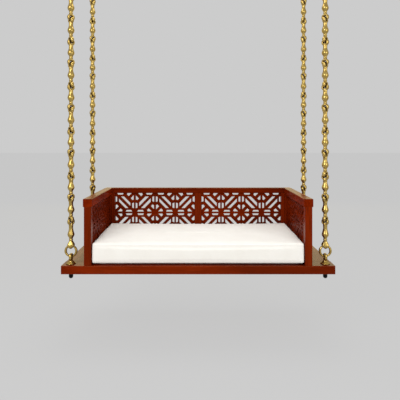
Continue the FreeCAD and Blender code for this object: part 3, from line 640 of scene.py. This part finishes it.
def mattress():
    """A boxed cushion, laid up in level rings from its foot to the middle of its top, and then swollen."""
    low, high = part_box("mattress")
    middle = (low + high)/2
    half_long = (high.x - low.x)/2 + PROUD_SIDE - SLACK_SIDE
    half_deep = (high.y - low.y + PROUD_FRONT)/2 - SLACK_FRONT
    middle.y -= PROUD_FRONT/2
    tall = high.z - low.z + PROUD_TOP - CROWN - REAR_LIFT - SLACK_TOP
    turns = [QUARTER*step/EDGE_STEPS for step in range(EDGE_STEPS + 1)]
    curve = [(1 - math.sin(turn), 1 - math.cos(turn)) for turn in turns]
    levels = [(inset*MM, rise*MM) for inset, rise in LOWER_ROLL]
    levels += [(0, 12*MM)] + [(0, tall*share) for share in (0.3, 0.5, 0.7)]
    levels += [(inset*EDGE, tall - rise*EDGE) for inset, rise in reversed(curve)]
    for step in range(1, TOP_STEPS):
        share = step/TOP_STEPS
        levels.append((EDGE + share*(half_deep - EDGE - 2*MM), tall + CROWN*math.sin(QUARTER*share)**0.8))
    loops = []
    for inset, height in levels:
        radius = min(max(CORNER - inset*0.4, 5*MM), half_deep - inset - 0.5*MM)
        loops.append(mattress_ring(half_long - inset, half_deep - inset, radius, height))
    for point in (point for loop in loops for point in loop):
        back = min(max((point.y + half_deep)/(2*half_deep), 0), 1)
        flank = SIDE_LIFT*4*back*(1 - back)*abs(point.x)/half_long
        point.z += (REAR_LIFT*back + flank)*min(max(point.z/tall, 0), 1)
    form = Form().place(skin(loops), Matrix.Translation((middle.x, middle.y, low.z + BASE_GAP)))
    piece = make("cotton_mattress", form, CLOTH, "seat", ["mattress"], 80)
    swell(piece, low, high)
    return piece


def points_of(mesh):
    """The points of a mesh as rows of an array."""
    values = np.zeros(len(mesh.vertices)*3)
    mesh.vertices.foreach_get("co", values)
    return values.reshape(-1, 3)


def swell(piece, low, high):
    """Simulated pressure inside the cover, its travel capped, and then the sewn seams."""
    select_only(piece)
    remesh = piece.modifiers.new("Remesh", "REMESH")
    remesh.mode, remesh.voxel_size, remesh.use_smooth_shade = "VOXEL", VOXEL, True
    bpy.ops.object.modifier_apply(modifier="Remesh")
    before = points_of(piece.data)
    resting = piece.vertex_groups.new(name="resting")
    resting.add([int(index) for index in np.nonzero(before[:, 2] < low.z + 3*MM)[0]], 1.0, "REPLACE")
    cover = piece.modifiers.new("Cover", "CLOTH")
    settings = cover.settings
    settings.quality = 4
    settings.mass = 0.4
    settings.tension_stiffness = settings.compression_stiffness = 40
    settings.shear_stiffness = 20
    settings.bending_stiffness = 8
    settings.use_pressure, settings.uniform_pressure_force = True, SWELL_PRESSURE
    settings.effector_weights.gravity = 0.0
    settings.vertex_group_mass = "resting"
    scene = bpy.context.scene
    for number in range(1, SWELL_FRAMES + 1):
        scene.frame_set(number)
    after = points_of(piece.evaluated_get(bpy.context.evaluated_depsgraph_get()).data)
    piece.modifiers.remove(cover)
    scene.frame_set(1)
    travel = after - before
    length = np.linalg.norm(travel, axis=1, keepdims=True)
    travel *= np.minimum(1, SWELL_CAP/np.maximum(length, 1e-9))
    moved = before + travel
    bounds_low = np.array([low.x - PROUD_SIDE, low.y - PROUD_FRONT, low.z + 0.2*MM])
    bounds_high = np.array([high.x + PROUD_SIDE, high.y - 1*MM, high.z + PROUD_TOP])
    moved = np.clip(moved, bounds_low, bounds_high)
    piece.data.vertices.foreach_set("co", moved.ravel())
    piece.data.update()
    finer = piece.modifiers.new("Finer", "SUBSURF")
    finer.levels = finer.render_levels = 1
    bpy.ops.object.modifier_apply(modifier="Finer")
    seams(piece, low, high)


def seams(piece, low, high):
    """A groove where the border is sewn to the top and to the bottom panel."""
    mesh = piece.data
    spots = points_of(mesh)
    normals = np.zeros(len(mesh.vertices)*3)
    mesh.vertex_normals.foreach_get("vector", normals)
    normals = normals.reshape(-1, 3)
    # Only faces near upright take the groove.
    upright = np.clip(1.4 - np.abs(normals[:, 2])*1.6, 0, 1)
    for height, deep in ((low.z + LOWER_SEAM[0], LOWER_SEAM[1]), (high.z - UPPER_SEAM[0], UPPER_SEAM[1])):
        depth = deep*np.exp(-((spots[:, 2] - height)/SEAM_WIDTH)**2)*upright
        spots -= normals*depth[:, None]
    mesh.vertices.foreach_set("co", spots.ravel())
    mesh.update()


def select_only(piece):
    for other in bpy.context.view_layer.objects:
        other.select_set(False)
    piece.select_set(True)
    bpy.context.view_layer.objects.active = piece


mattress_piece = mattress()


# Stage, light and camera

# The ceiling is at height 0.
BACKGROUND = linear(204, 204, 204)
FLOOR_HEIGHT = -2.29
FLOOR_REACH = 40.0
# The share of the floor's look that glows in the background's own colour, and the strength of the light
# from all round.
FLOOR_GLOW = 0.86
AMBIENT = 0.62


def stage_rays(tree):
    """1 for the rays that show the background as it is: camera, glossy and transmission rays."""
    path = node(tree, "ShaderNodeLightPath")
    rays = math_node(tree, "MAXIMUM", path.outputs["Is Camera Ray"], path.outputs["Is Glossy Ray"])
    return math_node(tree, "MAXIMUM", rays, path.outputs["Is Transmission Ray"])


def floor():
    material = bpy.data.materials.new("pale_floor")
    material.use_nodes = True
    tree = material.node_tree
    tree.nodes.clear()
    matt = node(tree, "ShaderNodeBsdfDiffuse", {"Color": BACKGROUND})
    glow = node(tree, "ShaderNodeEmission", {"Color": BACKGROUND, "Strength": 1.0})
    share = math_node(tree, "MULTIPLY", stage_rays(tree), FLOOR_GLOW)
    both = node(tree, "ShaderNodeMixShader", {0: share, 1: matt.outputs[0], 2: glow.outputs[0]})
    node(tree, "ShaderNodeOutputMaterial", {"Surface": both.outputs[0]})
    mesh = bpy.data.meshes.new("studio_floor")
    corners = [(across*FLOOR_REACH, deep*FLOOR_REACH, FLOOR_HEIGHT)
               for across, deep in ((-1, -1), (1, -1), (1, 1), (-1, 1))]
    mesh.from_pydata(corners, [], [(0, 1, 2, 3)])
    mesh.materials.append(material)
    piece = bpy.data.objects.new("studio_floor", mesh)
    bpy.context.scene.collection.objects.link(piece)


def world():
    made = bpy.data.worlds.new("studio")
    bpy.context.scene.world = made
    made.use_nodes = True
    tree = made.node_tree
    tree.nodes.clear()
    seen = node(tree, "ShaderNodeBackground", {"Color": BACKGROUND, "Strength": 1.0})
    ambient = node(tree, "ShaderNodeBackground", {"Color": (1, 1, 1, 1), "Strength": AMBIENT})
    both = node(tree, "ShaderNodeMixShader",
                {0: stage_rays(tree), 1: ambient.outputs[0], 2: seen.outputs[0]})
    node(tree, "ShaderNodeOutputWorld", {"Surface": both.outputs[0]})


def lamp(name, spot, target, size, energy, colour=(1, 1, 1)):
    light = bpy.data.lights.new(name, "AREA")
    light.shape, light.size, light.size_y = "RECTANGLE", *size
    light.energy, light.color = energy, colour
    piece = bpy.data.objects.new(name, light)
    piece.location = spot
    piece.rotation_euler = (Vector(target) - Vector(spot)).to_track_quat("-Z", "Y").to_euler()
    piece.visible_camera = False
    bpy.context.scene.collection.objects.link(piece)


floor()
world()
lamp("key_softbox", (-1.9, -3.4, 0.6), (0, 0, -1.5), (2.0, 2.0), 70)
lamp("fill_softbox", (2.4, -3.0, -0.6), (0, 0, -1.5), (1.6, 2.2), 31)
lamp("top_softbox", (0, 0.3, 1.4), (0, 0, -1.8), (2.6, 1.6), 34)
lamp("back_softbox", (0, 5.2, -0.3), (0, 0, -1.6), (6.5, 1.9), 30, (1.0, 0.84, 0.12))

# The photo is a square of FRAME_PIXELS. Its focal length, and the shift of its vanishing point, are in
# pixels too.
FRAME_PIXELS = 400
FOCAL_PIXELS = 439.5
SHIFT_RIGHT, SHIFT_UP = 1.9, -59.0
SENSOR_WIDTH = 36.0
CAMERA_SPOT = (0, -2.745, -1.136)

camera_data = bpy.data.cameras.new("camera")
camera_data.sensor_width = SENSOR_WIDTH
camera_data.lens = FOCAL_PIXELS*SENSOR_WIDTH/FRAME_PIXELS
camera_data.shift_x = SHIFT_RIGHT/FRAME_PIXELS
camera_data.shift_y = SHIFT_UP/FRAME_PIXELS
camera_data.clip_end = 100
camera = bpy.data.objects.new("camera", camera_data)
camera.location = CAMERA_SPOT
camera.rotation_euler = (QUARTER, 0, 0)
bpy.context.scene.collection.objects.link(camera)
bpy.context.scene.camera = camera
bpy.context.scene.view_settings.view_transform = "Standard"
